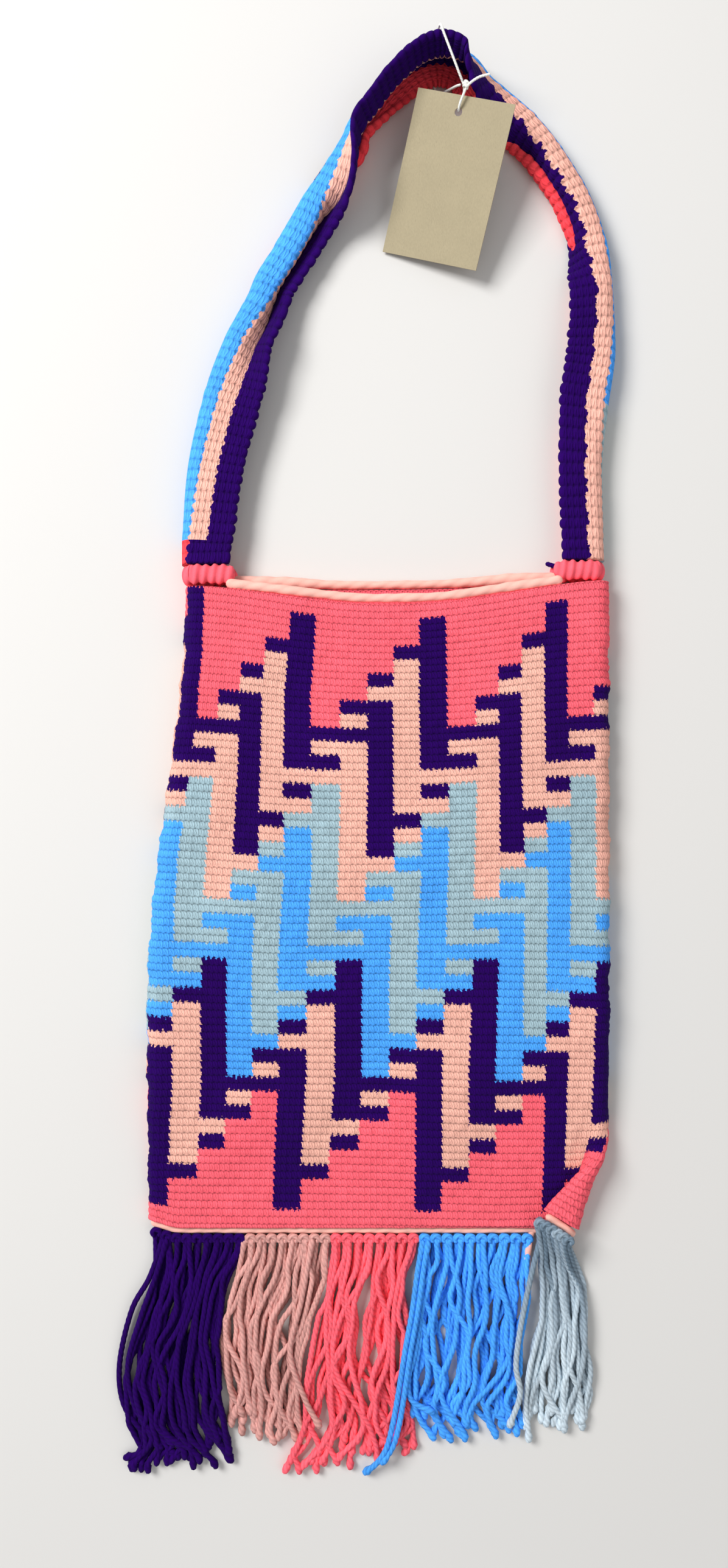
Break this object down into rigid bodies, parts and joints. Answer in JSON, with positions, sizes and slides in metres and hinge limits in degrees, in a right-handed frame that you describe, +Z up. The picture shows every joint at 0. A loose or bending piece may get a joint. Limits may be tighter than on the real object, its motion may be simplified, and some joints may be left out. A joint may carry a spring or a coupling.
{
  "type": "string bag",
  "caption": "Flat looped-yarn shoulder bag with a stepped pattern, striped strap, coloured fringe and a blank hang tag, lying on its back.",
  "frame": {"origin": "middle of the bag body's flat underside", "axes": "+X across the bag to its right edge, +Y from the fringe to the strap, +Z up out of the front"},
  "size_m": [0.265, 0.7917, 0.0408],
  "materials": {
    "looped_yarn": "looped acrylic yarn, matte",
    "pale_edging_yarn": "twisted yarn, matte",
    "pale_base_yarn": "twisted yarn, matte",
    "band_yarn": "looped acrylic yarn in five stripes, matte",
    "coral_joint_yarn": "wrapped yarn, matte",
    "purple_yarn_end": "twisted yarn, matte",
    "fringe_purple_yarn": "twisted yarn, matte",
    "fringe_peach_yarn": "twisted yarn, matte",
    "fringe_coral_yarn": "twisted yarn, matte",
    "fringe_blue_yarn": "twisted yarn, matte",
    "fringe_grey_yarn": "twisted yarn, matte",
    "kraft_card": "kraft card, matte",
    "cotton_string": "thin cotton string"
  },
  "bodies": {
    "root": {"bag_body": "looped_yarn", "mouth_edging_front": "pale_edging_yarn", "mouth_edging_back": "pale_edging_yarn", "base_edging": "pale_base_yarn", "edging_tail": "pale_base_yarn", "strap": "band_yarn", "strap_joint_left": "coral_joint_yarn", "strap_joint_right": "coral_joint_yarn", "yarn_tail": "purple_yarn_end", "fringe_purple": "fringe_purple_yarn", "fringe_peach": "fringe_peach_yarn", "fringe_coral": "fringe_coral_yarn", "fringe_blue": "fringe_blue_yarn", "fringe_grey": "fringe_grey_yarn", "tag_card": "kraft_card", "tag_string": "cotton_string"}
  },
  "joints": []
}
